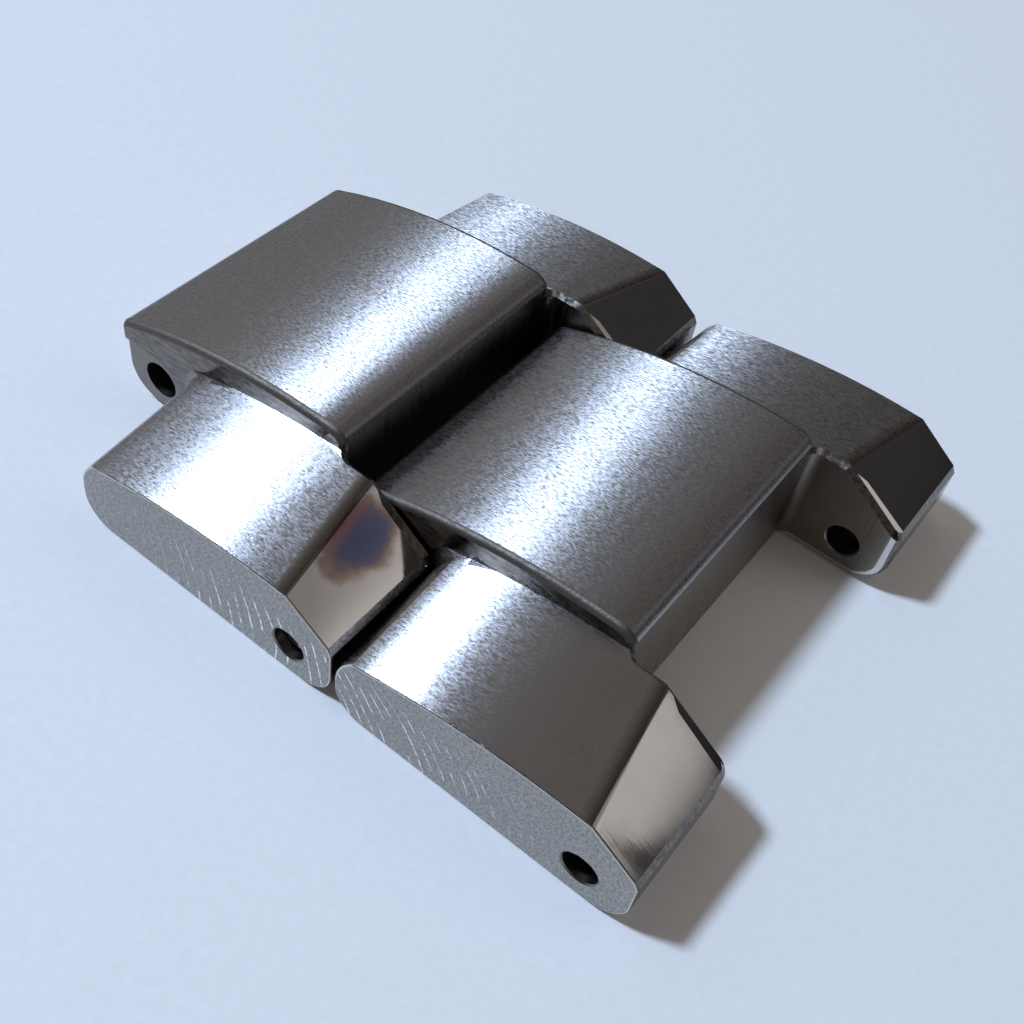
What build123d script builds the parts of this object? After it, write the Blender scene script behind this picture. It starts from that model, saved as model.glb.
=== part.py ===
from build123d import *

import os
from math import sqrt

os.makedirs("parts", exist_ok=True)

# Two stepped links of a steel watch bracelet, hinged on one pin that two split collars grip.
# X runs along the bracelet, Y along the pin, and Z = 0 is the side that lies on the wrist.

# Driving sizes of the bracelet, in millimetres
link_width = 20.0
pitch = 10.75
row_gap = 0.15
centre_width = 10.56
slot_clearance = 0.1
axis_height = 1.35
cut_overrun = 1.0
touch = 0.001

# The pin and the holes that it runs in
pin_radius = 0.55
pin_end_recess = 0.35
pin_end_round = 0.15
bore_clearance = 0.05
bore_edge_break = 0.05

# The split collars that grip the pin inside the tongue
collar_wall = 0.15
collar_length = 2.0
collar_slit = 0.3
collar_set_back = 0.1

# One wing, seen from its side, measured from the axis of its bore
wing_nose_reach = 1.70
wing_top_radius = 26.0
wing_crest_x = -1.3
wing_crest_over_facet = 1.23
wing_top_rise = 0.66
wing_front_setback = 0.65
wing_front_round_start = 0.1
wing_front_toe_round = 1.1
wing_nose_toe_round = 1.25
wing_root = 0.4
facet_foot_height = 1.22
facet_top_x = -0.08
facet_rise = 0.15
inner_bevel = 0.18
nose_corner_round = 0.4
slot_corner_round = 0.4
notch_corner_round = 0.35
outer_edge_break = 0.07

# The raised centre block and its tongue, seen from the side
centre_lift = 0.2
centre_top_radius = 24.0
centre_crest_x = -3.3
centre_crest_height = 3.72
centre_end_x = -2.16
centre_end_round = 0.7
centre_end_band = 0.62
centre_edge_round = 0.22
tongue_reach = 1.47
tongue_brow_round = 0.5
tongue_toe_round = 1.15
relief_radius = 1.3
relief_depth = 0.25

# Places that follow from the sizes above
wing_half = link_width / 2
centre_half = centre_width / 2
slot_width = centre_width + 2 * slot_clearance
bore_radius = pin_radius + bore_clearance
collar_radius = pin_radius + collar_wall
wing_crest_height = facet_foot_height + wing_crest_over_facet
tongue_face = centre_half - relief_depth
wing_front_x = wing_nose_reach + row_gap - pitch
wing_depth = wing_half - centre_half + wing_root
wing_slope = wing_top_rise / (wing_half - centre_half)
facet_slope = facet_rise / (wing_half - centre_half)
tongue_x = -pitch
tongue_front_x = tongue_x - tongue_reach
underside = -axis_height
centre_underside = centre_lift - axis_height
top_margin = centre_crest_height + cut_overrun
hinge_x = (tongue_reach - wing_nose_reach) / 2


def crown_height(x, crest_x, crest_height, radius):
    """Height of a crowned top at x."""
    return crest_height - radius + sqrt(radius**2 - (x - crest_x) ** 2)


def wing_top(x):
    """Point at x on the wing's top, along its outer face."""
    return (x, crown_height(x, wing_crest_x, wing_crest_height, wing_top_radius))


def centre_top(x):
    """Point at x on the centre block's top."""
    return (x, crown_height(x, centre_crest_x, centre_crest_height, centre_top_radius))


# One wing: a side profile, its sloping crowned top, the polished nose facet and the slot wall
outer_plane = Plane.XZ.offset(wing_half)
wing_lean = Vector(0, 1, wing_slope)
facet_lean = Vector(0, 1, facet_slope)
facet_fall = (wing_top(facet_top_x)[1] - facet_foot_height) / (wing_nose_reach - facet_top_x)
facet_run = (top_margin - facet_foot_height) / facet_fall
facet_drop = cut_overrun * facet_fall
front_corner = wing_top(wing_front_x + wing_front_setback)
crown_end_x = wing_nose_reach + cut_overrun
crown_floor = underside - top_margin

with BuildPart() as wing:
    with BuildSketch(outer_plane):
        with BuildLine():
            Polyline(
                (wing_front_x, underside + wing_front_toe_round),
                (wing_front_x, top_margin),
                (wing_nose_reach, top_margin),
                (wing_nose_reach, underside + wing_nose_toe_round),
            )
            TangentArc(
                (wing_nose_reach, underside + wing_nose_toe_round),
                (wing_nose_reach - wing_nose_toe_round, underside),
                tangent=(0, -1),
            )
            Line(
                (wing_nose_reach - wing_nose_toe_round, underside),
                (wing_front_x + wing_front_toe_round, underside),
            )
            TangentArc(
                (wing_front_x + wing_front_toe_round, underside),
                (wing_front_x, underside + wing_front_toe_round),
                tangent=(-1, 0),
            )
        make_face()
    extrude(amount=-wing_depth)
    with BuildSketch(outer_plane):
        with BuildLine():
            Line((wing_front_x, crown_floor), (wing_front_x, wing_front_round_start))
            TangentArc((wing_front_x, wing_front_round_start), front_corner, tangent=(0, 1))
            ThreePointArc(front_corner, wing_top(wing_crest_x), wing_top(crown_end_x))
            Polyline(
                wing_top(crown_end_x),
                (crown_end_x, crown_floor),
                (wing_front_x, crown_floor),
            )
        make_face()
    extrude(amount=wing_depth * sqrt(1 + wing_slope**2), dir=wing_lean, mode=Mode.INTERSECT)
    with BuildSketch(outer_plane):
        with BuildLine():
            Polyline(
                (wing_nose_reach - facet_run, top_margin),
                (crown_end_x, facet_foot_height - facet_drop),
                (crown_end_x, top_margin),
                close=True,
            )
        make_face()
    extrude(amount=wing_depth * sqrt(1 + facet_slope**2), dir=facet_lean, mode=Mode.SUBTRACT)
    with BuildSketch(Plane.XY.offset(crown_floor)) as slot_plan:
        with Locations((centre_end_x, 0)):
            Rectangle(
                crown_end_x - centre_end_x,
                slot_width,
                align=(Align.MIN, Align.CENTER),
            )
        fillet(slot_plan.vertices().group_by(Axis.X)[0], radius=slot_corner_round)
    extrude(amount=top_margin - crown_floor, mode=Mode.SUBTRACT)

    # The nose corner is rounded, and a thin bevel runs round the facet and along the slot
    slot_wall = wing.faces().filter_by(Axis.Y).sort_by(Axis.Y)[1]
    nose_edges = slot_wall.edges().filter_by(
        lambda edge: edge.center().X > wing_nose_reach - wing_nose_toe_round
        and edge.center().Z < facet_foot_height
    )
    fillet(nose_edges, radius=nose_corner_round)
    slot_wall = wing.faces().filter_by(Axis.Y).sort_by(Axis.Y)[1]
    facet_edge = slot_wall.edges().filter_by(GeomType.LINE).sort_by(Axis.Z)[-1]
    chamfer(facet_edge, length=inner_bevel)
    slot_wall = wing.faces().filter_by(Axis.Y).sort_by(Axis.Y)[1]
    chamfer(slot_wall.edges().sort_by(Axis.Z)[-1], length=inner_bevel)
    outer_face = wing.faces().filter_by(Axis.Y).sort_by(Axis.Y)[0]
    fillet(outer_face.edges(), radius=outer_edge_break)

# The centre block with its tongue: a crowned top, a rounded end band and a round nose
end_arc_x = centre_end_x - centre_end_band
end_arc_centre_z = centre_top(end_arc_x)[1] - centre_end_round
end_arc_foot = (
    centre_end_x,
    end_arc_centre_z + sqrt(centre_end_round**2 - centre_end_band**2),
)

with BuildPart() as centre:
    with BuildSketch(Plane.XZ.offset(centre_half)) as side_view:
        with BuildLine():
            Line(
                (tongue_front_x, centre_underside + tongue_toe_round),
                centre_top(tongue_front_x),
            )
            ThreePointArc(
                centre_top(tongue_front_x), centre_top(centre_crest_x), centre_top(end_arc_x)
            )
            TangentArc(centre_top(end_arc_x), end_arc_foot, tangent=(1, 0))
            Polyline(
                end_arc_foot,
                (centre_end_x, centre_underside),
                (tongue_front_x + tongue_toe_round, centre_underside),
            )
            TangentArc(
                (tongue_front_x + tongue_toe_round, centre_underside),
                (tongue_front_x, centre_underside + tongue_toe_round),
                tangent=(-1, 0),
            )
        make_face()
        brow = side_view.vertices().group_by(Axis.X)[0].sort_by(Axis.Y)[-1]
        fillet(brow, radius=tongue_brow_round)
    extrude(amount=-centre_width)
    fillet(centre.faces().filter_by(Axis.Y).edges(), radius=centre_edge_round)

# One link: both wings and the centre block milled from one bar
with BuildPart() as link:
    add(wing.part)
    add(wing.part.mirror(Plane.XZ))
    add(centre.part)
    notch_edges = link.edges().filter_by(
        lambda edge: abs(abs(edge.center().Y) - centre_half) < touch
        and wing_front_x - touch < edge.center().X < wing_front_x + wing_front_setback
    )
    fillet(notch_edges, radius=notch_corner_round)

    # The wing bores
    with BuildSketch(outer_plane):
        Circle(bore_radius)
    extrude(amount=-link_width, mode=Mode.SUBTRACT)
    bore_mouths = link.edges().filter_by(GeomType.CIRCLE).filter_by(
        lambda edge: abs(edge.radius - bore_radius) < touch
        and edge.arc_center.X > tongue_x / 2
    )
    chamfer(bore_mouths, length=bore_edge_break)

    # The tongue: one wider bore that takes the collars, and a milled relief round each mouth
    with BuildSketch(Plane.XZ.offset(tongue_face)):
        with Locations((tongue_x, 0)):
            Circle(collar_radius)
    extrude(amount=-2 * tongue_face, mode=Mode.SUBTRACT)
    for side in (1, -1):
        with BuildSketch(Plane.XZ.offset(side * tongue_face)):
            with Locations((tongue_x, 0)):
                Circle(relief_radius)
                Rectangle(
                    tongue_reach + cut_overrun,
                    2 * relief_radius,
                    align=(Align.MAX, Align.CENTER),
                )
        extrude(amount=side * (relief_depth + cut_overrun), mode=Mode.SUBTRACT)

# The two links, one pitch apart, with the hinge between them on the pin
with BuildPart() as first_link:
    add(link.part.moved(Location((hinge_x, 0, axis_height))))

with BuildPart() as second_link:
    add(link.part.moved(Location((hinge_x + pitch, 0, axis_height))))

# The hinge pin, a little shorter than the link is wide, with rounded ends
with BuildPart() as link_pin:
    with BuildSketch(Plane.XZ.offset(wing_half - pin_end_recess)):
        with Locations((hinge_x, axis_height)):
            Circle(pin_radius)
    extrude(amount=-2 * (wing_half - pin_end_recess))
    fillet(link_pin.edges().filter_by(GeomType.CIRCLE), radius=pin_end_round)


def split_collar(near_end):
    """A spring tube slit along its length, reaching from near_end towards +Y."""
    with BuildPart() as collar:
        with BuildSketch(Plane.XZ.offset(-near_end)):
            with Locations((hinge_x, axis_height)):
                Circle(collar_radius)
                Circle(pin_radius, mode=Mode.SUBTRACT)
                Rectangle(
                    collar_radius + cut_overrun,
                    collar_slit,
                    align=(Align.MIN, Align.CENTER),
                    mode=Mode.SUBTRACT,
                )
        extrude(amount=-collar_length)
    return collar


collar_left = split_collar(-(tongue_face - collar_set_back))
collar_right = split_collar(tongue_face - collar_set_back - collar_length)

first_link.part.label = "first_link"
second_link.part.label = "second_link"
link_pin.part.label = "link_pin"
collar_left.part.label = "collar_left"
collar_right.part.label = "collar_right"

export_step(first_link.part, "parts/first_link.step")
export_step(second_link.part, "parts/second_link.step")
export_step(link_pin.part, "parts/link_pin.step")
export_step(collar_left.part, "parts/collar_left.step")
export_step(collar_right.part, "parts/collar_right.step")
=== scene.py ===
from math import cos, pi, radians, sin, sqrt

import bpy
import bmesh
import numpy as np
from mathutils import Matrix, Vector


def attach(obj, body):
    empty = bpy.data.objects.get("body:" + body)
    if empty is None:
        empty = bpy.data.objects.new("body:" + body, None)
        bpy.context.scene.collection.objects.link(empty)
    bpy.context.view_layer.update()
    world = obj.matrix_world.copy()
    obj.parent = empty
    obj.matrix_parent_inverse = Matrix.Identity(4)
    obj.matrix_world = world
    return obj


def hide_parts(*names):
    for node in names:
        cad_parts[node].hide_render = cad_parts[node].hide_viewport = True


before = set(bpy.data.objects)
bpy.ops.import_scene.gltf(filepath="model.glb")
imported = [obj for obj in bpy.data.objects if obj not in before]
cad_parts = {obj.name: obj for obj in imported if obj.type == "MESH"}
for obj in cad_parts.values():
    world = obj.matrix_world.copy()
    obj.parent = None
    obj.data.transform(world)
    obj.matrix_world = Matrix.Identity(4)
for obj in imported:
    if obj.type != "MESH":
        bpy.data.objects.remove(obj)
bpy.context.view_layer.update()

# The camera
# The links were photographed from above their near left corner, with the camera held at a slight
# tilt. The angles and the distance were fitted to the corners of the links in the photograph.
camera_azimuth = radians(29.417)
camera_elevation = radians(49.811)
camera_roll = radians(10.670)
camera_distance = 0.051793
camera_target = Vector((-0.0013515, 0.0040104, -0.0059027))
camera_lens = 45.04
camera_sensor = 36.0

level_back = Vector((
    sin(camera_azimuth) * cos(camera_elevation),
    -cos(camera_azimuth) * cos(camera_elevation),
    sin(camera_elevation),
))
level_right = (-level_back).cross(Vector((0, 0, 1))).normalized()
level_up = level_right.cross(-level_back)
camera_right = level_right * cos(camera_roll) + level_up * sin(camera_roll)
camera_up = level_up * cos(camera_roll) - level_right * sin(camera_roll)

camera_data = bpy.data.cameras.new("camera")
camera_data.lens = camera_lens
camera_data.sensor_width = camera_sensor
camera_data.clip_start = 0.001
camera_data.clip_end = 10
camera = bpy.data.objects.new("camera", camera_data)
camera.matrix_world = Matrix.Translation(camera_target + level_back * camera_distance) @ Matrix(
    (camera_right, camera_up, level_back)
).transposed().to_4x4()
bpy.context.scene.collection.objects.link(camera)
bpy.context.scene.camera = camera


# The two links
# Each is one piece of stainless steel, milled to shape from bar: a crowned centre block that runs
# on into a tongue, with a lower wing on each side. The tops are satin-brushed lengthways, the
# noses of the wings are ground flat and mirror-polished, and the sides keep the cutter's arcs.

# Sizes of a link in mm, the same as the solid's, with X and Z from the axis of its wings' bores.
# A reach ends just past the feature that it takes in.
mm = 0.001
hinge_x = -0.115
pitch = 10.75
axis_height = 1.35
wing_half = 10.0
centre_half = 5.28
slot_clearance = 0.1
slot_half = centre_half + slot_clearance
wing_rise = 0.66
wing_slope = round(wing_rise / (wing_half - centre_half), 2)
wing_top_front_x = -8.2
wing_edge_break = 0.07
nose_front_x = 1.5
bore_reach = 0.66
tongue_bore_reach = 0.71
slot_end_x = -2.16
slot_corner_round = 0.4
notch_reach = 0.36
inner_bevel_reach = 0.19
centre_edge_round = 0.22
centre_end_band = 0.62
touch = 0.001

# Corners of triangles that lie closer than this, in metres, are one corner
weld = 1e-7

# A facet: its foot and its crest along the outer face, how far it rises towards the centre block,
# and how closely its faces share its direction
facet_foot = (1.70, 1.22)
facet_crest = (-0.08, 2.4213)
facet_rise = 0.15
facet_fall = round((facet_crest[1] - facet_foot[1]) / (facet_foot[0] - facet_crest[0]), 4)
facet_lean = round(facet_rise / (wing_half - centre_half), 4)
same_direction = 0.9998

# The brushing belt rolls over the crease above each facet, by half of the turn, and a brown painted
# shade lies along it. The crease runs a little aslant.
roll_depths = (0.03, 0.07, 0.12, 0.18, 0.25)
roll_share = 0.5
crease_run = 0.168
crease_steps = (0.06, 0.13, 0.20)
crest_slope = 0.05

# Hand polishing leaves each facet very slightly domed, mostly towards its foot and its ends, with
# a narrow strip along its inner edge that leans away. Two lines bound the strip: each has the Y
# where it starts and its slope.
facet_columns = 11
facet_rows = 7
facet_dome = radians(3.0)
dome_along = 1.5
dome_across = 0.5
lean = radians(11)
lean_start_x = -0.86
lean_lines = ((5.40, 0.5), (5.71, 0.04))

# The belt also rounds the end of the centre block's top, and the fronts of the wings' tops
end_roll_steps = (-3.9, -3.6, -3.3, -3.05)
end_roll_end_x = slot_end_x - centre_end_band
end_roll = radians(8)
front_roll_steps = (-7.4, -7.6, -7.8, -8.0)

# Each wing's top as the belt left it, on the left and on the right: how far it is tipped, how
# strongly it is crowned beside the solid, and how far its front is rolled over
link_tops = {
    "first_link": ((radians(1.9), 0.6, radians(3)), (radians(6.5), 1.0, 0)),
    "second_link": ((radians(6.0), 1.15, radians(4)), (radians(4.4), 1.0, radians(6))),
}

# A link's finishes, in the order of its materials
BRUSHED, FACET, SIDE, WALL, EDGE, BORE, FLANK, ROLLED = range(8)


def facet_direction(side):
    """The direction that a facet faces, on the left (-1) or the right (1) wing."""
    return Vector((facet_fall, side * facet_lean, 1)).normalized()


def depth_under_facet(point):
    """How far a point of a wing lies under the plane of its facet, in mm."""
    side = 1 if point.y > 0 else -1
    foot = Vector((facet_foot[0], side * wing_half, facet_foot[1]))
    return (foot - point).dot(facet_direction(side))


def joined_copy(node):
    """A copy of a CAD node with its triangles' corners joined. It keeps the node's own surface
    directions as an attribute."""
    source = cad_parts[node].data
    points = np.empty(len(source.vertices) * 3)
    source.vertices.foreach_get("co", points)
    corners = np.empty(len(source.loops), int)
    source.loops.foreach_get("vertex_index", corners)
    directions = np.empty(len(source.loops) * 3)
    source.corner_normals.foreach_get("vector", directions)
    _, first, joined = np.unique(
        np.round(points.reshape(-1, 3) / weld).astype(int), axis=0,
        return_index=True, return_inverse=True,
    )
    faces = joined.ravel()[corners].reshape(-1, 3)
    whole = (
        (faces[:, 0] != faces[:, 1]) & (faces[:, 1] != faces[:, 2]) & (faces[:, 2] != faces[:, 0])
    )
    mesh = bpy.data.meshes.new(node + "_finish")
    mesh.from_pydata(points.reshape(-1, 3)[first], [], faces[whole].tolist())
    kept = mesh.attributes.new("surface_direction", "FLOAT_VECTOR", "CORNER")
    kept.data.foreach_set("vector", directions.reshape(-1, 3, 3)[whole].ravel())
    return mesh


def finish_of(middle, normal):
    """Which finish a face has, from its middle in its own link, in mm, and its direction. A number
    beside a direction says how fully the face turns that way, from 0 to 1. The first rule that
    holds decides."""
    out = abs(middle.y)
    side = 1 if middle.y > 0 else -1
    in_wing_bore = out > centre_half and sqrt(middle.x**2 + middle.z**2) < bore_reach
    in_tongue_bore = sqrt((middle.x + pitch) ** 2 + middle.z**2) < tongue_bore_reach
    on_wing = slot_half < out < wing_half - wing_edge_break
    on_inner_bevel = slot_half < out < slot_half + inner_bevel_reach and middle.x > lean_start_x
    on_centre_edge = centre_half - centre_edge_round - touch < out < centre_half + touch
    in_notch_corner = middle.x < wing_top_front_x and centre_half < out < centre_half + notch_reach
    in_slot_corner = (
        slot_half - slot_corner_round < out < slot_half + touch
        and middle.x < slot_end_x + slot_corner_round
    )
    rules = (
        (in_wing_bore or in_tongue_bore, BORE),
        (out > wing_half - touch, SIDE),
        (out > centre_half and normal.dot(facet_direction(side)) > same_direction, FACET),
        (normal.z < -0.99, BRUSHED),
        # The noses' fronts and the right wings' inner bevels take the flank's darker finish, a
        # painted shade
        (out > slot_half and middle.x > nose_front_x and normal.x > 0.6, FLANK),
        (on_inner_bevel and normal.z > 0.4, FACET if side < 0 else FLANK),
        (on_centre_edge and normal.z > 0.05, ROLLED),
        (on_centre_edge and abs(normal.y) > 0.9 and middle.z > 0, FLANK),
        (abs(normal.y) > 0.99, WALL),
        (in_notch_corner and normal.z < 0.9, WALL),
        (normal.z > 0.9 and middle.z > 0, BRUSHED),
        (out < centre_half - centre_edge_round and normal.z > 0.3, BRUSHED),
        (on_wing and middle.x < front_roll_steps[0] and normal.z > 0.1, BRUSHED),
        (normal.x > 0.999 and middle.x < 0, WALL),
        (in_slot_corner, WALL),
    )
    return next((finish for holds, finish in rules if holds), EDGE)


def cut(work, faces, place, direction):
    """Cuts some faces of a mesh along a plane."""
    around = {e for f in faces for e in f.edges} | {v for f in faces for v in f.verts}
    bmesh.ops.bisect_plane(
        work, geom=list(faces) + list(around), dist=weld, plane_co=place, plane_no=direction,
    )


def add_rows(work, origin):
    """Cuts a link's faces into finer rows, so that its shading can turn there: below each crease,
    over each facet, at the fronts of the wings' tops and at the end of the centre block's."""
    for side in (-1, 1):
        facing = facet_direction(side)
        foot = Vector((facet_foot[0], side * wing_half, facet_foot[1]))
        for depth in roll_depths:
            wing = [f for f in work.faces if f.calc_center_median().y * side > slot_half * mm]
            cut(work, wing, origin + (foot - facing * depth) * mm, facing)
        planes = []
        for column in range(1, facet_columns):
            y = slot_half + (wing_half - slot_half) * column / facet_columns
            planes.append((Vector((0, side * y, 0)), Vector((0, 1, 0))))
        for row in range(1, facet_rows):
            x = facet_crest[0] + (facet_foot[0] - facet_crest[0]) * row / facet_rows
            planes.append((Vector((x, 0, 0)), Vector((1, 0, 0))))
        for step in crease_steps:
            crease = Vector((facet_crest[0] + step, side * wing_half, 0))
            planes.append((crease, Vector((1, -side * crease_run, 0)).normalized()))
        for start, slope in lean_lines:
            line_start = Vector((lean_start_x, side * start, 0))
            planes.append((line_start, Vector((-side * slope, 1, 0)).normalized()))
        for place, direction in planes:
            work.normal_update()
            polished = [
                f for f in work.faces
                if f.calc_center_median().y * side > slot_half * mm
                and f.normal.dot(facing) > same_direction
            ]
            cut(work, polished, origin + place * mm, direction)
    for x in front_roll_steps:
        wings = [f for f in work.faces if abs(f.calc_center_median().y) > slot_half * mm]
        cut(work, wings, origin + Vector((x, 0, 0)) * mm, Vector((1, 0, 0)))
    for x in end_roll_steps:
        block = [f for f in work.faces if abs(f.calc_center_median().y) < centre_half * mm]
        cut(work, block, origin + Vector((x, 0, 0)) * mm, Vector((1, 0, 0)))
    work.normal_update()


def held(share):
    """A share, held between 0 and 1."""
    return min(max(share, 0), 1)


def eased(share):
    """A share, held between 0 and 1 and eased at both ends."""
    share = held(share)
    return share * share * (3 - 2 * share)


def wing_top_direction(point, own, wing_top):
    """Where the surface faces at a point of a wing's brushed top, and how much painted shade lies
    there: none far from the crease above the facet, and all of it at the crease."""
    tilt, crown, front_roll = wing_top
    past_front = (front_roll_steps[0] - point.x) / (front_roll_steps[0] - wing_top_front_x)
    x = own.x * crown - sin(front_roll) * held(past_front) ** 2
    tipped = Vector((x * cos(tilt) + own.z * sin(tilt), own.y, own.z * cos(tilt) - x * sin(tilt)))
    crease_shade = 1 - held(depth_under_facet(point) / roll_depths[-1])
    facing = facet_direction(1 if point.y > 0 else -1)
    return tipped.lerp(facing, roll_share * eased(crease_shade)).normalized(), crease_shade


def facet_point_direction(point, leans):
    """Where the surface faces at a point of a facet, or of the strip of it that leans away."""
    side = 1 if point.y > 0 else -1
    along = (point.x - facet_crest[0]) / (facet_foot[0] - facet_crest[0])
    across = (abs(point.y) - slot_half) / (wing_half - slot_half) * 2 - 1
    bend = Vector((along**3 * dome_along, side * across**3 * dome_across, 0)) * sin(facet_dome)
    if leans:
        bend.y -= side * sin(lean)
    past_crease = point.x - facet_crest[0] + crease_run * (wing_half - abs(point.y))
    share = roll_share + (1 - roll_share) * eased(past_crease / crease_steps[-1])
    top = Vector((crest_slope, -side * wing_slope, 1)).normalized()
    return top.lerp(facet_direction(side) + bend, share).normalized()


def finished_link(node, origin_x, materials):
    """A link's visible piece: the node's own shape in finer rows of faces, with a finish for each
    of its surfaces, and its surface directions as the belt and the polishing wheel left them."""
    mesh = joined_copy(node)
    origin = Vector((origin_x, 0, axis_height)) * mm
    work = bmesh.new()
    work.from_mesh(mesh)
    add_rows(work, origin)
    for face in work.faces:
        face.material_index = finish_of((face.calc_center_median() - origin) / mm, face.normal)
        face.smooth = True
    work.to_mesh(mesh)
    work.free()

    directions = np.empty(len(mesh.loops) * 3)
    mesh.attributes["surface_direction"].data.foreach_get("vector", directions)
    directions = directions.reshape(-1, 3)
    crease_shaded = np.zeros(len(mesh.loops))
    for face in mesh.polygons:
        if face.center.z < origin.z:
            continue
        on_wing = abs(face.center.y) > slot_half * mm
        middle = (face.center - origin) / mm
        leans = all(
            abs(middle.y) < start + slope * (middle.x - lean_start_x)
            for start, slope in lean_lines
        )
        for corner in face.loop_indices:
            point = (mesh.vertices[mesh.loops[corner].vertex_index].co - origin) / mm
            if not on_wing and face.material_index in (BRUSHED, FLANK):
                share = (point.x - end_roll_steps[0]) / (end_roll_end_x - end_roll_steps[0])
                if 0 < share <= 1 + touch:
                    directions[corner][0] += sin(end_roll) * share**2
            elif on_wing and face.material_index == BRUSHED:
                directions[corner], crease_shaded[corner] = wing_top_direction(
                    point, Vector(directions[corner]), link_tops[node][point.y > 0],
                )
            elif face.material_index == FACET:
                directions[corner] = facet_point_direction(point, leans)
    mesh.attributes.remove(mesh.attributes["surface_direction"])
    # How much painted shade lies at each corner, darkening the brushed steel's colour towards the
    # crease
    mesh.attributes.new("painted_crease_shade", "FLOAT", "CORNER").data.foreach_set("value", crease_shaded)
    mesh.normals_split_custom_set(directions / np.linalg.norm(directions, axis=1)[:, None])
    for material in materials:
        mesh.materials.append(material)
    piece = bpy.data.objects.new(node + "_finish", mesh)
    bpy.context.scene.collection.objects.link(piece)
    return piece


def colour(hex_code):
    """An sRGB hex colour as the linear red, green, blue and alpha that a shader takes."""
    parts = [int(hex_code[i:i + 2], 16) / 255 for i in (1, 3, 5)]
    return [p / 12.92 if p <= 0.04045 else ((p + 0.055) / 1.055) ** 2.4 for p in parts] + [1.0]


def per_metre(*sizes):
    """How often a pattern repeats in a metre, from its sizes in mm."""
    return [1 / mm / size for size in sizes]


def add(tree, kind, inputs=None, **settings):
    """Adds a node to a tree, with its settings, and fills or links its inputs."""
    made = tree.nodes.new(kind)
    for name, value in settings.items():
        setattr(made, name, value)
    for name, value in (inputs or {}).items():
        if isinstance(value, bpy.types.NodeSocket):
            tree.links.new(value, made.inputs[name])
        else:
            made.inputs[name].default_value = value
    return made


# Where a Mix node takes and gives colours, and the span that most of a noise's values lie in
mix_from, mix_to, mix_result = 6, 7, 2
noise_span = {"From Min": 0.3, "From Max": 0.7}


def metal(name, inputs):
    """A bare metal, with the shader's inputs that are the same all over it: the material, its
    node tree and its shader."""
    material = bpy.data.materials.new(name)
    material.use_nodes = True
    tree = material.node_tree
    tree.nodes.clear()
    shader = add(tree, "ShaderNodeBsdfPrincipled", {"Metallic": 1.0, **inputs})
    add(tree, "ShaderNodeOutputMaterial", {"Surface": shader.outputs["BSDF"]})
    return material, tree, shader


def marked_metal(name, inputs, size, depth, detail=2.0, crispness=0.6,
                 gloss=None, gloss_span=noise_span):
    """A metal with the marks of its working, of a size along X, Y and Z and a depth in mm. Gloss
    is the least and the most roughness that they give it."""
    material, tree, shader = metal(name, inputs)
    place = add(tree, "ShaderNodeMapping", {
        "Vector": add(tree, "ShaderNodeTexCoord").outputs["Object"], "Scale": per_metre(*size),
    })
    marks = add(tree, "ShaderNodeTexNoise", {
        "Vector": place.outputs["Vector"],
        "Scale": 1.0, "Detail": detail, "Roughness": crispness,
    })
    relief = add(tree, "ShaderNodeBump", {
        "Height": marks.outputs["Fac"], "Strength": 1.0, "Distance": depth * mm,
    })
    tree.links.new(relief.outputs["Normal"], shader.inputs["Normal"])
    if gloss:
        uneven = add(tree, "ShaderNodeMapRange", {
            **gloss_span, "Value": marks.outputs["Fac"], "To Min": gloss[0], "To Max": gloss[1],
        })
        tree.links.new(uneven.outputs[0], shader.inputs["Roughness"])
    return material, tree, shader, marks


# Satin-brushed stainless steel: ground lengthways on a fine belt. It gives the eye a fine
# glittering grain of short streaks along the bracelet, and a highlight that runs across it. Real
# scratches are about 0.02 mm wide: these are drawn twice as wide, to show. Each groove has its own
# roughness, and before the crease above a facet the colour darkens to brown, a painted shade.
streak_size = (0.18, 0.04, 6)
streak_depth = 0.0042
long_streak_size = (5, 0.16, 6)
long_streak_share = 0.15
smudge_size = 2.5
smudge_roughness = 0.02
groove_roughness = (0.2, 0.48)
crease_shade_strength = 0.85

brushed, tree, shader = metal("stainless_steel_satin_brushed", {"Anisotropic": 1.0})
place = add(tree, "ShaderNodeTexCoord").outputs["Object"]
across = add(tree, "ShaderNodeCombineXYZ", {"Y": 1.0})
tree.links.new(across.outputs["Vector"], shader.inputs["Tangent"])
streak_place = add(tree, "ShaderNodeMapping", {
    "Vector": place, "Scale": per_metre(*streak_size),
})
streaks = add(tree, "ShaderNodeTexNoise", {
    "Vector": streak_place.outputs["Vector"], "Scale": 1.0, "Detail": 2.0, "Roughness": 0.6,
})
long_place = add(tree, "ShaderNodeMapping", {
    "Vector": place, "Scale": per_metre(*long_streak_size),
})
long_streaks = add(tree, "ShaderNodeTexNoise", {
    "Vector": long_place.outputs["Vector"], "Scale": 1.0, "Detail": 3.0, "Roughness": 0.55,
})
both = add(tree, "ShaderNodeMath", {
    0: long_streaks.outputs["Fac"], 1: long_streak_share, 2: streaks.outputs["Fac"],
}, operation="MULTIPLY_ADD")
grain = add(tree, "ShaderNodeBump", {
    "Height": both.outputs[0], "Strength": 1.0, "Distance": streak_depth * mm,
})
tree.links.new(grain.outputs["Normal"], shader.inputs["Normal"])
shade = add(tree, "ShaderNodeMapRange", {**noise_span, "Value": streaks.outputs["Fac"]})
tint = add(tree, "ShaderNodeMix", {
    "Factor": shade.outputs[0], mix_from: colour("#a19d9b"), mix_to: colour("#c3c1c1"),
}, data_type="RGBA")
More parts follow.
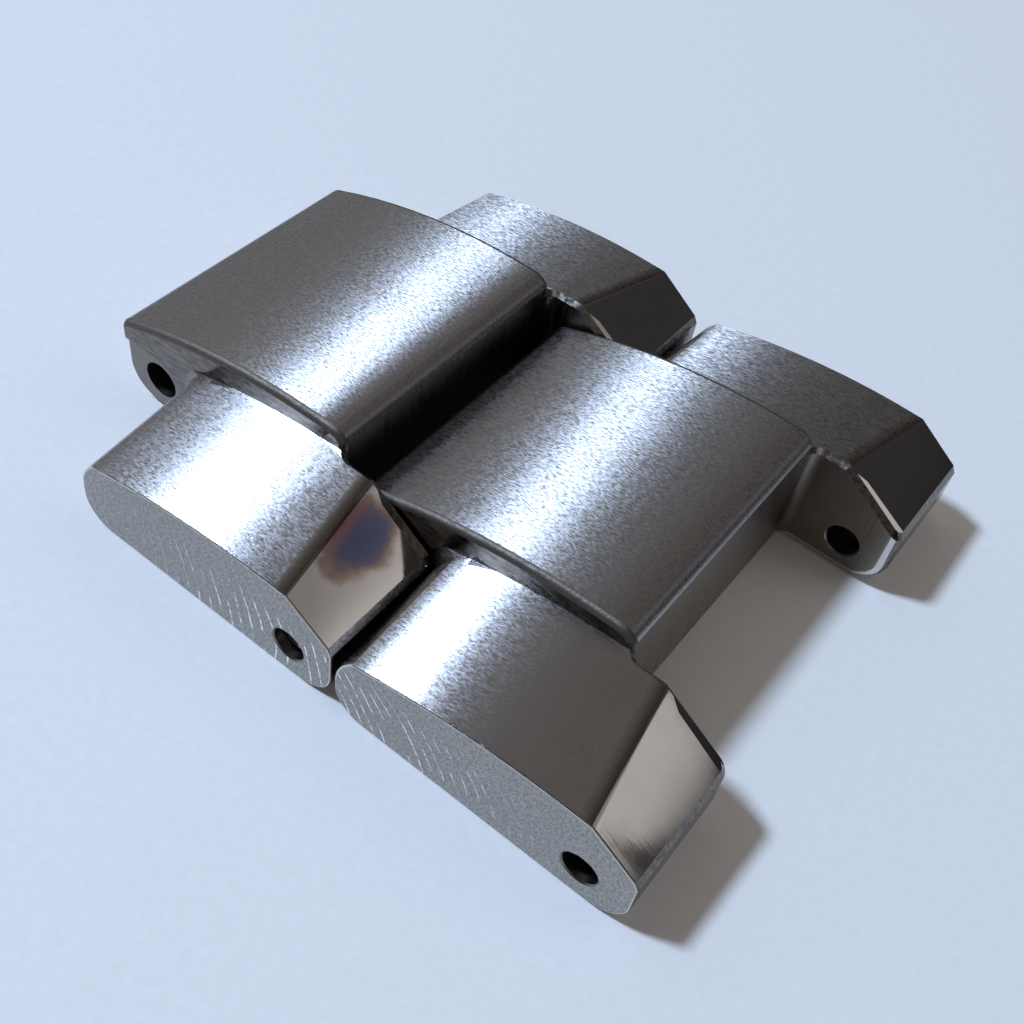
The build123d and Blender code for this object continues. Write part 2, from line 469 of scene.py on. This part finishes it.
# Painted shade: the colour darkens to brown towards the crease above each facet
crease_shade = add(tree, "ShaderNodeAttribute", attribute_name="painted_crease_shade")
crease_shade_share = add(tree, "ShaderNodeMath", {0: crease_shade.outputs["Fac"], 1: crease_shade_strength},
                operation="MULTIPLY")
crease_shaded_tint = add(tree, "ShaderNodeMix", {
    "Factor": crease_shade_share.outputs[0], mix_from: tint.outputs[mix_result], mix_to: colour("#625243"),
}, data_type="RGBA")
tree.links.new(crease_shaded_tint.outputs[mix_result], shader.inputs["Base Color"])
smudges = add(tree, "ShaderNodeTexNoise", {
    "Vector": place, "Scale": 1 / mm / smudge_size, "Detail": 3.0, "Roughness": 0.5,
})
smudged = add(tree, "ShaderNodeMapRange", {
    **noise_span, "Value": smudges.outputs["Fac"],
    "To Min": -smudge_roughness, "To Max": smudge_roughness,
})
each_groove = add(tree, "ShaderNodeMapRange", {
    **noise_span, "Value": streaks.outputs["Fac"],
    "To Min": groove_roughness[0], "To Max": groove_roughness[1],
})
rubbed = add(tree, "ShaderNodeMath", {0: each_groove.outputs[0], 1: smudged.outputs[0]},
             operation="ADD")
tree.links.new(rubbed.outputs[0], shader.inputs["Roughness"])

# Mirror-polished stainless steel: the noses' facets, ground flat and buffed on a soft wheel. They
# give clear dark and light reflections with faint hairlines and a little haze.
hairline_size = (2, 0.05, 2)
hairline_turn = radians(12)
hairline_depth = 0.0006
haze_size = 0.9
haze_span = {"From Min": 0.35, "From Max": 0.75}
haze_roughness = (0.045, 0.13)

facet, tree, shader = metal("stainless_steel_mirror_polished", {})
place = add(tree, "ShaderNodeTexCoord").outputs["Object"]
hair_place = add(tree, "ShaderNodeMapping", {
    "Vector": place, "Rotation": (0.0, 0.0, hairline_turn), "Scale": per_metre(*hairline_size),
})
hairlines = add(tree, "ShaderNodeTexNoise", {
    "Vector": hair_place.outputs["Vector"], "Scale": 1.0, "Detail": 2.0, "Roughness": 0.7,
})
scratches = add(tree, "ShaderNodeBump", {
    "Height": hairlines.outputs["Fac"], "Strength": 1.0, "Distance": hairline_depth * mm,
})
tree.links.new(scratches.outputs["Normal"], shader.inputs["Normal"])
hazes = add(tree, "ShaderNodeTexNoise", {
    "Vector": place, "Scale": 1 / mm / haze_size, "Detail": 2.0, "Roughness": 0.6,
})
haze = add(tree, "ShaderNodeMapRange", {
    **haze_span, "Value": hazes.outputs["Fac"],
    "To Min": haze_roughness[0], "To Max": haze_roughness[1],
})
tree.links.new(haze.outputs[0], shader.inputs["Roughness"])

# One facet carries a soft patch of painted reflection in its colour: blue in the middle, then
# purple and brown, with straw round the edge, and a red painted reflection along the crease. The
# colours are placed in half sizes of the patch from its middle, and the crease's red tint in mm.
reflection_patch_middle_y = -7.0
reflection_patch_half = (0.95, 1.8)
reflection_patch_edge_size = 0.8
reflection_patch_edge_share = 0.55
reflection_patch_end = 1.25
painted_reflection_steps = (
    (0.35, "#656c8e"), (0.75, "#71718c"), (0.92, "#8d8084"), (1.08, "#b8a595"),
    (reflection_patch_end, "#dcd8d4"),
)
crease_reflection_strength = 0.75
crease_reflection_band = (-1.72, -1.38)
crease_reflection_reach = (1.0, 1.2)

reflection_patch_place = add(tree, "ShaderNodeMapping", {
    "Vector": place, "Location": (0.0, -reflection_patch_middle_y / reflection_patch_half[1], 0.0),
    "Scale": (*per_metre(*reflection_patch_half), 0.0),
})
reflection_patch_distance = add(tree, "ShaderNodeVectorMath", {0: reflection_patch_place.outputs["Vector"]}, operation="LENGTH")
reflection_patch_edge = add(tree, "ShaderNodeTexNoise", {
    "Vector": place, "Scale": 1 / mm / reflection_patch_edge_size, "Detail": 3.0, "Roughness": 0.6,
})
reflection_patch_reach = add(tree, "ShaderNodeMath", {
    0: reflection_patch_edge.outputs["Fac"], 1: reflection_patch_edge_share, 2: reflection_patch_distance.outputs["Value"],
}, operation="MULTIPLY_ADD")
reflection_patch_share = add(tree, "ShaderNodeMath", {0: reflection_patch_reach.outputs[0], 1: reflection_patch_end},
                 operation="DIVIDE")
# The patch's colours are painted reflection, laid into the facet's colour
painted_reflection_ramp = add(tree, "ShaderNodeValToRGB", {"Fac": reflection_patch_share.outputs[0]})
while len(painted_reflection_ramp.color_ramp.elements) < len(painted_reflection_steps):
    painted_reflection_ramp.color_ramp.elements.new(0.5)
for element, (reach, hex_code) in zip(painted_reflection_ramp.color_ramp.elements, painted_reflection_steps):
    element.position = reach / reflection_patch_end
    element.color = colour(hex_code)
parts = add(tree, "ShaderNodeSeparateXYZ", {"Vector": place})
from_crease = add(tree, "ShaderNodeMath", {
    0: parts.outputs["Y"], 1: crease_run, 2: parts.outputs["X"],
}, operation="MULTIPLY_ADD")
by_crease = add(tree, "ShaderNodeMapRange", {
    "Value": from_crease.outputs[0],
    "From Min": crease_reflection_band[0] * mm, "From Max": crease_reflection_band[1] * mm,
    "To Min": crease_reflection_strength, "To Max": 0.0,
}, interpolation_type="SMOOTHSTEP")
near_reflection_patch = add(tree, "ShaderNodeMapRange", {
    "Value": reflection_patch_reach.outputs[0], "From Min": crease_reflection_reach[0], "From Max": crease_reflection_reach[1],
    "To Min": 1.0, "To Max": 0.0,
})
crease_reflection_share = add(tree, "ShaderNodeMath", {0: by_crease.outputs[0], 1: near_reflection_patch.outputs[0]},
            operation="MULTIPLY")
# A red painted reflection along the crease, near the patch
painted_reflection_tint = add(tree, "ShaderNodeMix", {
    "Factor": crease_reflection_share.outputs[0], mix_from: painted_reflection_ramp.outputs["Color"], mix_to: colour("#a0757c"),
}, data_type="RGBA")
tree.links.new(painted_reflection_tint.outputs[mix_result], shader.inputs["Base Color"])

# Face-milled stainless steel: the outer faces. The grey matt ground carries the cutter's arcs, each
# a fine bright line broken into dashes, strongest on both sides of the hinge: real ridges, whose
# white tint is a painted glint. The cutter passed lower over the second link, which starts half a
# row gap past the first link's noses.
cutter_radius = 6.0
cutter_feed = 0.47
cutter_height = 0.2
second_cutter_drop = 1.95
second_link_start_x = 1.66
feed_wander = 4.0
feed_wander_size = 1.8
ridge_span = {"From Min": 0.88, "From Max": 0.97}
long_dash_size = 0.7
long_dash_span = {"From Min": 0.42, "From Max": 0.56}
short_dash_size = 0.2
short_dash_span = {"From Min": 0.42, "From Max": 0.55}
faint_dash = 0.15
marks_middle_x = 1.5
marks_fade_x = (2.5, 7.0)
marks_fade_z = (2.1, 2.6)
faint_mark = 0.1
full_mark = 0.55
ground_size = 0.09
ground_roughness = 0.5
mark_roughness = 0.3
side_relief_depth = 0.0018
ground_relief = 0.3
mark_relief = 9.0

side, tree, shader = metal("stainless_steel_face_milled", {})
place = add(tree, "ShaderNodeTexCoord").outputs["Object"]
parts = add(tree, "ShaderNodeSeparateXYZ", {"Vector": place})
on_second = add(tree, "ShaderNodeMath", {0: parts.outputs["X"], 1: second_link_start_x * mm},
                operation="GREATER_THAN")
cutter_z = add(tree, "ShaderNodeMath", {
    0: on_second.outputs[0], 1: -second_cutter_drop * mm, 2: cutter_height * mm,
}, operation="MULTIPLY_ADD")
rise = add(tree, "ShaderNodeMath", {0: parts.outputs["Z"], 1: cutter_z.outputs[0]},
           operation="SUBTRACT")
rise_squared = add(tree, "ShaderNodeMath", {0: rise.outputs[0], 1: rise.outputs[0]},
                   operation="MULTIPLY")
under_arc = add(tree, "ShaderNodeMath", {
    0: (cutter_radius * mm) ** 2, 1: rise_squared.outputs[0],
}, operation="SUBTRACT")
arc = add(tree, "ShaderNodeMath", {0: under_arc.outputs[0]}, operation="SQRT")
travel = add(tree, "ShaderNodeMath", {0: parts.outputs["X"], 1: arc.outputs[0]},
             operation="SUBTRACT")
even_phase = add(tree, "ShaderNodeMath", {0: travel.outputs[0], 1: 2 * pi / (cutter_feed * mm)},
                 operation="MULTIPLY")
wander = add(tree, "ShaderNodeTexNoise", {
    "Vector": place, "Scale": 1 / mm / feed_wander_size, "Detail": 1.0,
})
phase = add(tree, "ShaderNodeMath", {
    0: wander.outputs["Fac"], 1: feed_wander, 2: even_phase.outputs[0],
}, operation="MULTIPLY_ADD")
ripple = add(tree, "ShaderNodeMath", {0: phase.outputs[0]}, operation="SINE")
ridge = add(tree, "ShaderNodeMapRange", {**ridge_span, "Value": ripple.outputs[0]})
long_dashes = add(tree, "ShaderNodeTexNoise", {
    "Vector": place, "Scale": 1 / mm / long_dash_size, "Detail": 1.0,
})
long_dash = add(tree, "ShaderNodeMapRange", {**long_dash_span, "Value": long_dashes.outputs["Fac"]})
short_dashes = add(tree, "ShaderNodeTexNoise", {
    "Vector": place, "Scale": 1 / mm / short_dash_size, "Detail": 2.0, "Roughness": 0.6,
})
short_dash = add(tree, "ShaderNodeMapRange", {
    **short_dash_span, "Value": short_dashes.outputs["Fac"], "To Min": faint_dash,
})
past_hinge = add(tree, "ShaderNodeMath", {0: parts.outputs["X"], 1: marks_middle_x * mm},
                 operation="SUBTRACT")
from_hinge = add(tree, "ShaderNodeMath", {0: past_hinge.outputs[0]}, operation="ABSOLUTE")
near_hinge = add(tree, "ShaderNodeMapRange", {
    "Value": from_hinge.outputs[0],
    "From Min": marks_fade_x[0] * mm, "From Max": marks_fade_x[1] * mm,
    "To Min": 1.0, "To Max": faint_mark,
})
under_top = add(tree, "ShaderNodeMapRange", {
    "Value": parts.outputs["Z"],
    "From Min": marks_fade_z[0] * mm, "From Max": marks_fade_z[1] * mm,
    "To Min": 1.0, "To Max": faint_mark,
})
strength = ridge
for share in (long_dash, short_dash, near_hinge, under_top):
    strength = add(tree, "ShaderNodeMath", {0: strength.outputs[0], 1: share.outputs[0]},
                   operation="MULTIPLY")
mark = add(tree, "ShaderNodeMapRange", {"Value": strength.outputs[0], "From Max": full_mark})
ground = add(tree, "ShaderNodeTexNoise", {
    "Vector": place, "Scale": 1 / mm / ground_size, "Detail": 2.0, "Roughness": 0.6,
})
ground_shade = add(tree, "ShaderNodeMapRange", {**noise_span, "Value": ground.outputs["Fac"]})
ground_tint = add(tree, "ShaderNodeMix", {
    "Factor": ground_shade.outputs[0], mix_from: colour("#88847e"), mix_to: colour("#c2beb8"),
}, data_type="RGBA")
# The arcs are tinted white: a painted glint on top of their real ridges
side_tint = add(tree, "ShaderNodeMix", {
    "Factor": mark.outputs[0], mix_from: ground_tint.outputs[mix_result],
    mix_to: colour("#ffffff"),
}, data_type="RGBA")
tree.links.new(side_tint.outputs[mix_result], shader.inputs["Base Color"])
side_gloss = add(tree, "ShaderNodeMapRange", {
    "Value": mark.outputs[0], "To Min": ground_roughness, "To Max": mark_roughness,
})
tree.links.new(side_gloss.outputs[0], shader.inputs["Roughness"])
ground_height = add(tree, "ShaderNodeMath", {
    0: ground.outputs["Fac"], 1: ground_relief, 2: ripple.outputs[0],
}, operation="MULTIPLY_ADD")
side_height = add(tree, "ShaderNodeMath", {
    0: mark.outputs[0], 1: mark_relief, 2: ground_height.outputs[0],
}, operation="MULTIPLY_ADD")
side_relief = add(tree, "ShaderNodeBump", {
    "Height": side_height.outputs[0], "Strength": 1.0, "Distance": side_relief_depth * mm,
})
tree.links.new(side_relief.outputs["Normal"], shader.inputs["Normal"])

# Fine-milled stainless steel: the slot's walls and the end walls, cut with the side of an end
# mill. They have a dull sheen with close upright lines.
wall, *_ = marked_metal(
    "stainless_steel_fine_milled", {"Base Color": colour("#837b73")},
    size=(0.08, 0.08, 1.8), depth=0.004, gloss=(0.24, 0.42),
)

# Tumble-polished stainless steel: the narrow rounds and bevels, which catch thin bright lines.
edge, *_ = marked_metal(
    "stainless_steel_tumbled_edge", {"Base Color": colour("#cfcac5")},
    size=(0.22, 0.22, 0.22), depth=0.002, detail=3.0,
    gloss=(0.12, 0.3), gloss_span={"From Min": 0.35, "From Max": 0.7},
)

# Reamed stainless steel: the bores, dark inside, with fine rings from the reamer.
bore, *_ = marked_metal(
    "stainless_steel_reamed", {"Base Color": colour("#7f7a75"), "Roughness": 0.3},
    size=(3, 0.06, 3), depth=0.006, detail=1.0, crispness=0.5,
)

# Side-milled stainless steel: the centre block's flanks and the fronts of the noses, where a
# polishing cloth has reached. They mirror the wings and the gap beside them, and their colour is
# darkened well below the steel's own, a painted shade of that gap, in soft streaks.
flank, tree, shader, rubs = marked_metal(
    "stainless_steel_side_milled", {},
    size=(0.6, 0.1, 0.1), depth=0.003, detail=3.0, gloss=(0.16, 0.26),
)
rub_shade = add(tree, "ShaderNodeMapRange", {**noise_span, "Value": rubs.outputs["Fac"]})
# Painted shade: the flank's colour is kept dark, in soft streaks
flank_shaded_tint = add(tree, "ShaderNodeMix", {
    "Factor": rub_shade.outputs[0], mix_from: colour("#4d4743"), mix_to: colour("#8a827a"),
}, data_type="RGBA")
tree.links.new(flank_shaded_tint.outputs[mix_result], shader.inputs["Base Color"])

# Satin-rounded stainless steel: the centre block's long edges, where the belt has rolled over
# them. They shade softly from the top's grey to the flank's brown, with a coarse dull speckle.
rolled, *_ = marked_metal(
    "stainless_steel_satin_rolled", {"Base Color": colour("#6f675f")},
    size=(0.08, 0.08, 0.08), depth=0.014, gloss=(0.5, 0.62),
)

link_finishes = (brushed, facet, side, wall, edge, bore, flank, rolled)
for link_node, link_origin in (("first_link", hinge_x), ("second_link", hinge_x + pitch)):
    link_piece = finished_link(link_node, link_origin, link_finishes)
    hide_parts(link_node)
    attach(link_piece, link_node)


# The hinge pin
# A length of stainless wire, centreless-ground to size and a little shorter than the links are
# wide. Its ends are rounded in a barrel, and it is held by the two collars.
pin_finish, *_ = marked_metal(
    "stainless_steel_centreless_ground", {"Base Color": colour("#8f8a85"), "Roughness": 0.22},
    size=(0.5, 0.04, 0.5), depth=0.003, crispness=0.5,
)
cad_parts["link_pin"].data.materials.clear()
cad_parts["link_pin"].data.materials.append(pin_finish)


# The split collars
# Two short spring tubes, rolled from hardened strip, pressed into the tongue's ends. They grip
# the pin, and a slit along each lets it spring.
collar_finish, *_ = marked_metal(
    "spring_steel_rolled", {"Base Color": colour("#8d8884"), "Roughness": 0.3},
    size=(0.06, 1.5, 0.06), depth=0.003, crispness=0.5,
)
for collar in ("collar_left", "collar_right"):
    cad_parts[collar].data.materials.clear()
    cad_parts[collar].data.materials.append(collar_finish)


# The floor
# A plain sheet of white paper, a little cool in the lamp's light, with a faint fibre. It is far
# wider than the links, so that no edge of it shows behind them.
floor_half = 0.6
fibre_size = 0.35
fibre_depth = 0.006

paper = bpy.data.materials.new("white_paper")
paper.use_nodes = True
tree = paper.node_tree
tree.nodes.clear()
shader = add(tree, "ShaderNodeBsdfPrincipled", {"Roughness": 0.7})
add(tree, "ShaderNodeOutputMaterial", {"Surface": shader.outputs["BSDF"]})
fibre = add(tree, "ShaderNodeTexNoise", {
    "Vector": add(tree, "ShaderNodeTexCoord").outputs["Object"],
    "Scale": 1 / mm / fibre_size, "Detail": 4.0, "Roughness": 0.6,
})
fibre_shade = add(tree, "ShaderNodeMapRange", {**noise_span, "Value": fibre.outputs["Fac"]})
paper_tint = add(tree, "ShaderNodeMix", {
    "Factor": fibre_shade.outputs[0], mix_from: colour("#f1efed"), mix_to: colour("#f6f4f2"),
}, data_type="RGBA")
tree.links.new(paper_tint.outputs[mix_result], shader.inputs["Base Color"])
fibre_relief = add(tree, "ShaderNodeBump", {
    "Height": fibre.outputs["Fac"], "Strength": 1.0, "Distance": fibre_depth * mm,
})
tree.links.new(fibre_relief.outputs["Normal"], shader.inputs["Normal"])

floor_mesh = bpy.data.meshes.new("floor")
floor_mesh.from_pydata(
    [(-floor_half, -floor_half, 0), (floor_half, -floor_half, 0),
     (floor_half, floor_half, 0), (-floor_half, floor_half, 0)],
    [], [(0, 1, 2, 3)],
)
floor_mesh.materials.append(paper)
floor = bpy.data.objects.new("floor", floor_mesh)
bpy.context.scene.collection.objects.link(floor)


# The lights
# One small bright lamp, cool in colour, up on the left and a little towards the camera, throws
# short crisp shadows. A wide faint light overhead softens them: it is hidden from reflections, so
# that the steel shows only the lamp and the room.
for name, place, size, energy, tint in (
    ("lamp", (-0.322, -0.139, 0.480), 0.080, 3.2, (0.58, 0.74, 1.0)),
    ("fill", (0.25, 0.2, 0.4), 0.5, 0.2, (1.0, 1.0, 1.0)),
):
    light_data = bpy.data.lights.new(name, "AREA")
    light_data.shape = "DISK"
    light_data.size = size
    light_data.energy = energy
    light_data.color = tint
    light = bpy.data.objects.new(name, light_data)
    light.location = place
    light.rotation_euler = Vector(place).to_track_quat("Z", "Y").to_euler()
    light.visible_glossy = name == "lamp"
    bpy.context.scene.collection.objects.link(light)


# The room
# It is dim and a little warm on the lamp's side, and dark on the far side, where a pale wall with
# soft edges is what the near facets show. Angles are in degrees, round from X and up from level.
dark_side = (0.034, 0.032, 0.034, 1.0)
light_side = (0.30, 0.29, 0.287, 1.0)
wall_light = (0.53, 0.51, 0.51, 1.0)
ceiling_light = (0.30, 0.273, 0.256, 1.0)
behind_camera = (0.035, 0.032, 0.030, 1.0)

room = bpy.data.worlds.new("studio")
bpy.context.scene.world = room
room.use_nodes = True
tree = room.node_tree
tree.nodes.clear()
direction = add(tree, "ShaderNodeTexCoord").outputs["Generated"]
parts = add(tree, "ShaderNodeSeparateXYZ", {"Vector": direction})
azimuth_turn = add(tree, "ShaderNodeMath", {0: parts.outputs["Y"], 1: parts.outputs["X"]},
                   operation="ARCTAN2")
azimuth = add(tree, "ShaderNodeMath", {0: azimuth_turn.outputs[0]}, operation="DEGREES")
height_turn = add(tree, "ShaderNodeMath", {0: parts.outputs["Z"]}, operation="ARCSINE")
height = add(tree, "ShaderNodeMath", {0: height_turn.outputs[0]}, operation="DEGREES")

# The wall's far edge leans away from the lamp's side
far_edge_foot = 16.2
far_edge_lean = 0.8
far_edge = add(tree, "ShaderNodeMath", {0: height.outputs[0], 1: far_edge_lean, 2: far_edge_foot},
               operation="MULTIPLY_ADD")
past_edge = add(tree, "ShaderNodeMath", {0: azimuth.outputs[0], 1: far_edge.outputs[0]},
                operation="SUBTRACT")

# A dark round-topped thing stands before the wall, and narrows upwards
thing_middle = 25.0
thing_foot_half = 6.65
thing_taper = 0.19
thing_rise = {"From Min": 20.0, "From Max": 29.0}
thing_half = add(tree, "ShaderNodeMath", {
    0: height.outputs[0], 1: -thing_taper, 2: thing_foot_half,
}, operation="MULTIPLY_ADD")
thing_side = add(tree, "ShaderNodeMath", {0: azimuth.outputs[0], 1: thing_middle},
                 operation="SUBTRACT")
thing_across = add(tree, "ShaderNodeMath", {0: thing_side.outputs[0], 1: thing_half.outputs[0]},
                   operation="DIVIDE")
thing_up = add(tree, "ShaderNodeMapRange", {**thing_rise, "Value": height.outputs[0]},
               clamp=False)
thing_place = add(tree, "ShaderNodeCombineXYZ", {
    "X": thing_across.outputs[0], "Y": thing_up.outputs[0],
})
thing_reach = add(tree, "ShaderNodeVectorMath", {0: thing_place.outputs[0]}, operation="LENGTH")

# The wall's light fades past its far edge, before its start, towards the skirting, towards the
# ceiling and behind the dark thing
wall_share = 1.0
for value, start, end, start_share, end_share in (
    (past_edge.outputs[0], -0.6, 1.6, 1.0, 0.0),
    (azimuth.outputs[0], 14.0, 19.0, 0.0, 1.0),
    (height.outputs[0], 18.0, 28.0, 0.25, 1.0),
    (height.outputs[0], 36.0, 45.0, 1.0, 0.42),
    (thing_reach.outputs["Value"], 0.8, 1.1, 0.06, 1.0),
):
    fade = add(tree, "ShaderNodeMapRange", {
        "Value": value, "From Min": start, "From Max": end,
        "To Min": start_share, "To Max": end_share,
    }, interpolation_type="SMOOTHSTEP")
    wall_share = add(tree, "ShaderNodeMath", {0: wall_share, 1: fade.outputs[0]},
                     operation="MULTIPLY").outputs[0]


def share_round(middle, start, end):
    """How much of a part of the room shows round its middle, from where it starts to where it is
    full. Both are cosines of the angle from the middle."""
    nearness = add(tree, "ShaderNodeVectorMath", {0: direction, 1: middle},
                   operation="DOT_PRODUCT")
    return add(tree, "ShaderNodeMapRange", {
        "Value": nearness.outputs["Value"], "From Min": start, "From Max": end,
    }, interpolation_type="SMOOTHSTEP").outputs[0]


# The room's parts are laid over its dark side, one after another
shown = dark_side
for share, seen in (
    (share_round((-0.82, -0.57, 0.0), -0.6, 0.2), light_side),
    (wall_share, wall_light),
    (share_round((-0.30, -0.78, 0.55), 0.72, 0.92), behind_camera),
    (share_round((0.05, 0.0, 1.0), 0.90, 0.98), ceiling_light),
):
    shown = add(tree, "ShaderNodeMix", {"Factor": share, mix_from: shown, mix_to: seen},
                data_type="RGBA").outputs[mix_result]

# It darkens towards the floor
darkening_start = 22.0
floor_share = 0.3
above_floor = add(tree, "ShaderNodeMapRange", {
    "Value": height.outputs[0], "From Max": darkening_start, "To Min": floor_share,
}, interpolation_type="SMOOTHSTEP")
background = add(tree, "ShaderNodeBackground", {
    "Color": shown, "Strength": above_floor.outputs[0],
})
add(tree, "ShaderNodeOutputWorld", {"Surface": background.outputs[0]})

bpy.context.scene.view_settings.view_transform = "Standard"
